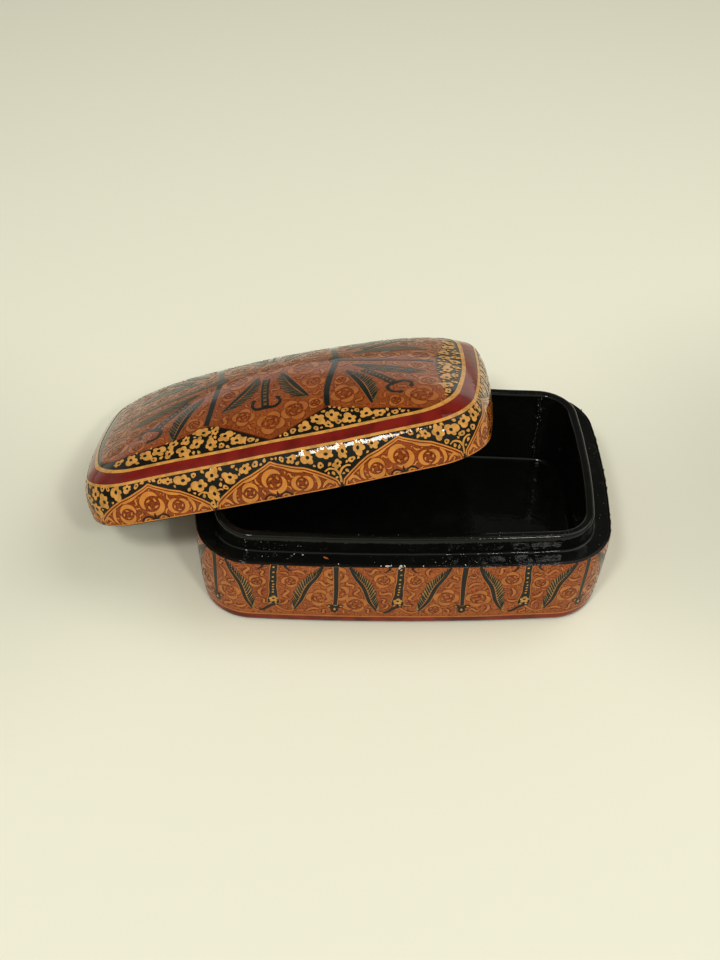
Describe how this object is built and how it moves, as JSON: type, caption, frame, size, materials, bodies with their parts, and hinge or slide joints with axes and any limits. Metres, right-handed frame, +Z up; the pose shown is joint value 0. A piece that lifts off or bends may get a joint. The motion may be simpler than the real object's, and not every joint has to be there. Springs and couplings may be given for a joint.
{
  "type": "papier mache box",
  "caption": "Low oblong lidded box of painted papier mache with rounded corners, a domed slip-over lid laid askew, and a black collar inside the ledge.",
  "frame": {"origin": "centre of the base's flat underside, on the table", "axes": "+Z up out of the open base, +X along the long side to the right seen from the front, +Y to the back"},
  "size_m": [0.1594, 0.0926, 0.0642],
  "materials": {
    "black_pulp": "pressed paper pulp under black lacquer, semi-gloss",
    "painted_coat": "gesso with painted ornament under clear gloss varnish",
    "black_collar": "card strip under black gloss lacquer",
    "black_lacquer": "black gloss lacquer",
    "pulp": "pressed paper pulp, matt"
  },
  "bodies": {
    "base": {"base_shell": "black_pulp", "base_skin": "painted_coat", "collar": "black_collar", "floor_lining": "black_lacquer"},
    "lid": {"lid_shell": "pulp", "lid_skin": "painted_coat", "lid_lining": "black_lacquer"}
  },
  "joints": [
    {"name": "lid_lift", "type": "slide", "parent": "base", "child": "lid", "axis": [0, 0, 1], "range_m": [0, 0.1]}
  ]
}
